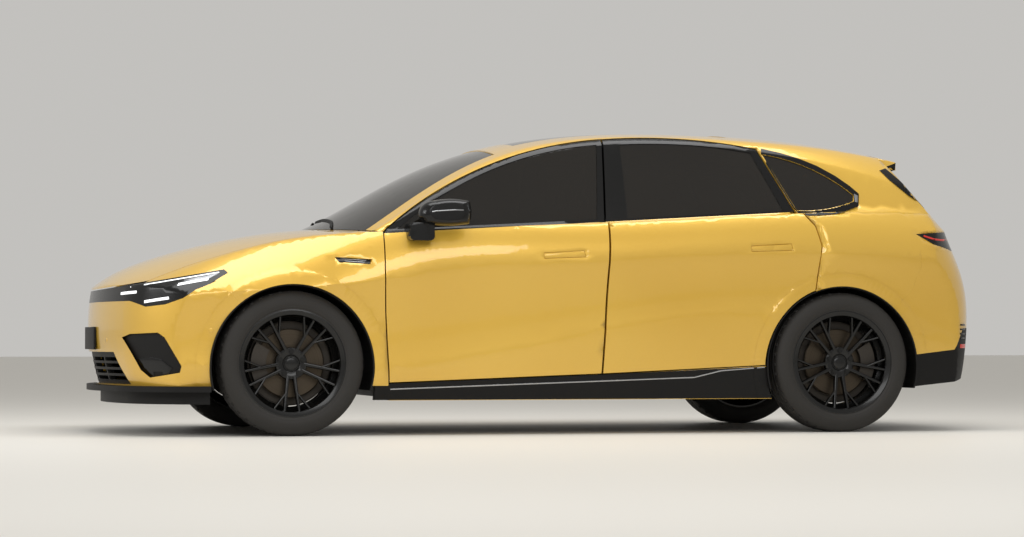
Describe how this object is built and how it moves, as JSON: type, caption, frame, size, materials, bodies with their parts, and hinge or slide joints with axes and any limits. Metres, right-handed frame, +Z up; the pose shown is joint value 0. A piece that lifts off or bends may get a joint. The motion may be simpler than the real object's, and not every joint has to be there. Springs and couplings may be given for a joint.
{
  "type": "five-door hatchback",
  "caption": "Compact electric five-door hatchback on wheels, with opening doors, hood and tailgate, steered front wheels and a furnished hollow cabin.",
  "frame": {"origin": "on the ground below the middle of the overall length and width", "axes": "+X forward, +Y to the car's left, +Z up"},
  "size_m": [4.4393, 2.08, 1.5038],
  "materials": {
    "body_paint": "gloss",
    "underbody": "matte",
    "battery_case": "cast",
    "dark_glass": "tinted",
    "black_gloss": "gloss",
    "black_plastic": "grained",
    "rear_lamp": "gloss",
    "chassis_steel": "cast",
    "tyre_rubber": "matte",
    "seat_cover": "matte"
  },
  "bodies": {
    "body": {"floor_pan": "underbody", "battery_pack": "battery_case", "drive_unit": "battery_case", "side_frame_left": "body_paint", "side_frame_right": "body_paint", "roof": "body_paint", "roof_glass": "dark_glass", "front_fenders": "body_paint", "front_bumper": "body_paint", "headlamps": "black_gloss", "front_grille": "black_plastic", "front_splitter": "black_plastic", "windscreen": "dark_glass", "quarter_windows": "dark_glass", "rear_bumper": "body_paint", "rear_diffuser": "black_plastic", "tail_lamps": "rear_lamp", "sill_trims": "black_plastic", "wheel_liners": "black_plastic", "front_tub": "underbody", "front_subframe": "chassis_steel", "rear_subframe": "chassis_steel", "front_seats": "seat_cover", "rear_seat": "seat_cover", "dashboard": "black_plastic"},
    "hood": {"hood": "body_paint"},
    "tailgate": {"tailgate": "body_paint", "tailgate_glass": "dark_glass", "tailgate_lamp": "rear_lamp"},
    "steering_wheel": {"steering_wheel": "black_plastic"},
    "front_door_left": {"front_door_left": "body_paint", "front_door_glass_left": "dark_glass", "mirror_left": "black_gloss"},
    "rear_door_left": {"rear_door_left": "body_paint", "rear_door_glass_left": "dark_glass"},
    "front_door_right": {"front_door_right": "body_paint", "front_door_glass_right": "dark_glass", "mirror_right": "black_gloss"},
    "rear_door_right": {"rear_door_right": "body_paint", "rear_door_glass_right": "dark_glass"},
    "front_knuckle_left": {"front_knuckle_left": "chassis_steel"},
    "front_knuckle_right": {"front_knuckle_right": "chassis_steel"},
    "front_wheel_left": {"front_tyre_left": "tyre_rubber", "front_rim_left": "black_gloss"},
    "front_wheel_right": {"front_tyre_right": "tyre_rubber", "front_rim_right": "black_gloss"},
    "rear_wheel_left": {"rear_tyre_left": "tyre_rubber", "rear_rim_left": "black_gloss"},
    "rear_wheel_right": {"rear_tyre_right": "tyre_rubber", "rear_rim_right": "black_gloss"}
  },
  "joints": [
    {"name": "hood_open", "type": "hinge", "parent": "body", "child": "hood", "pos_m": [0.94, 0, 0.975], "axis": [0, -1, 0], "range_deg": [0, 55]},
    {"name": "tailgate_open", "type": "hinge", "parent": "body", "child": "tailgate", "pos_m": [-1.68, 0, 1.418], "axis": [0, 1, 0], "range_deg": [0, 75]},
    {"name": "front_door_left_open", "type": "hinge", "parent": "body", "child": "front_door_left", "pos_m": [0.909, 0.9415, 0.6], "axis": [0, 0, -1], "range_deg": [0, 65]},
    {"name": "rear_door_left_open", "type": "hinge", "parent": "body", "child": "rear_door_left", "pos_m": [-0.16, 0.9415, 0.6], "axis": [0, 0, -1], "range_deg": [0, 65]},
    {"name": "front_door_right_open", "type": "hinge", "parent": "body", "child": "front_door_right", "pos_m": [0.909, -0.9415, 0.6], "axis": [0, 0, 1], "range_deg": [0, 65]},
    {"name": "rear_door_right_open", "type": "hinge", "parent": "body", "child": "rear_door_right", "pos_m": [-0.16, -0.9415, 0.6], "axis": [0, 0, 1], "range_deg": [0, 65]},
    {"name": "steer_left", "type": "hinge", "parent": "body", "child": "front_knuckle_left", "pos_m": [1.35, 0.755, 0.3425], "axis": [0, 0, 1], "range_deg": [-34, 34]},
    {"name": "steer_right", "type": "hinge", "parent": "body", "child": "front_knuckle_right", "pos_m": [1.35, -0.755, 0.3425], "axis": [0, 0, 1], "range_deg": [-34, 34]},
    {"name": "steering_wheel_turn", "type": "hinge", "parent": "body", "child": "steering_wheel", "pos_m": [0.43, 0.37, 0.905], "axis": [-0.9063, 0, 0.4226], "range_deg": [-510, 510]},
    {"name": "front_wheel_left_spin", "type": "hinge", "parent": "front_knuckle_left", "child": "front_wheel_left", "pos_m": [1.35, 0.8, 0.3425], "axis": [0, 1, 0], "continuous": true},
    {"name": "front_wheel_right_spin", "type": "hinge", "parent": "front_knuckle_right", "child": "front_wheel_right", "pos_m": [1.35, -0.8, 0.3425], "axis": [0, 1, 0], "continuous": true},
    {"name": "rear_wheel_left_spin", "type": "hinge", "parent": "body", "child": "rear_wheel_left", "pos_m": [-1.385, 0.8, 0.3425], "axis": [0, 1, 0], "continuous": true},
    {"name": "rear_wheel_right_spin", "type": "hinge", "parent": "body", "child": "rear_wheel_right", "pos_m": [-1.385, -0.8, 0.3425], "axis": [0, 1, 0], "continuous": true}
  ],
  "couplings": [
    {"joint": "steer_right", "follows": "steer_left", "ratio": 1},
    {"joint": "steering_wheel_turn", "follows": "steer_left", "ratio": 15}
  ]
}
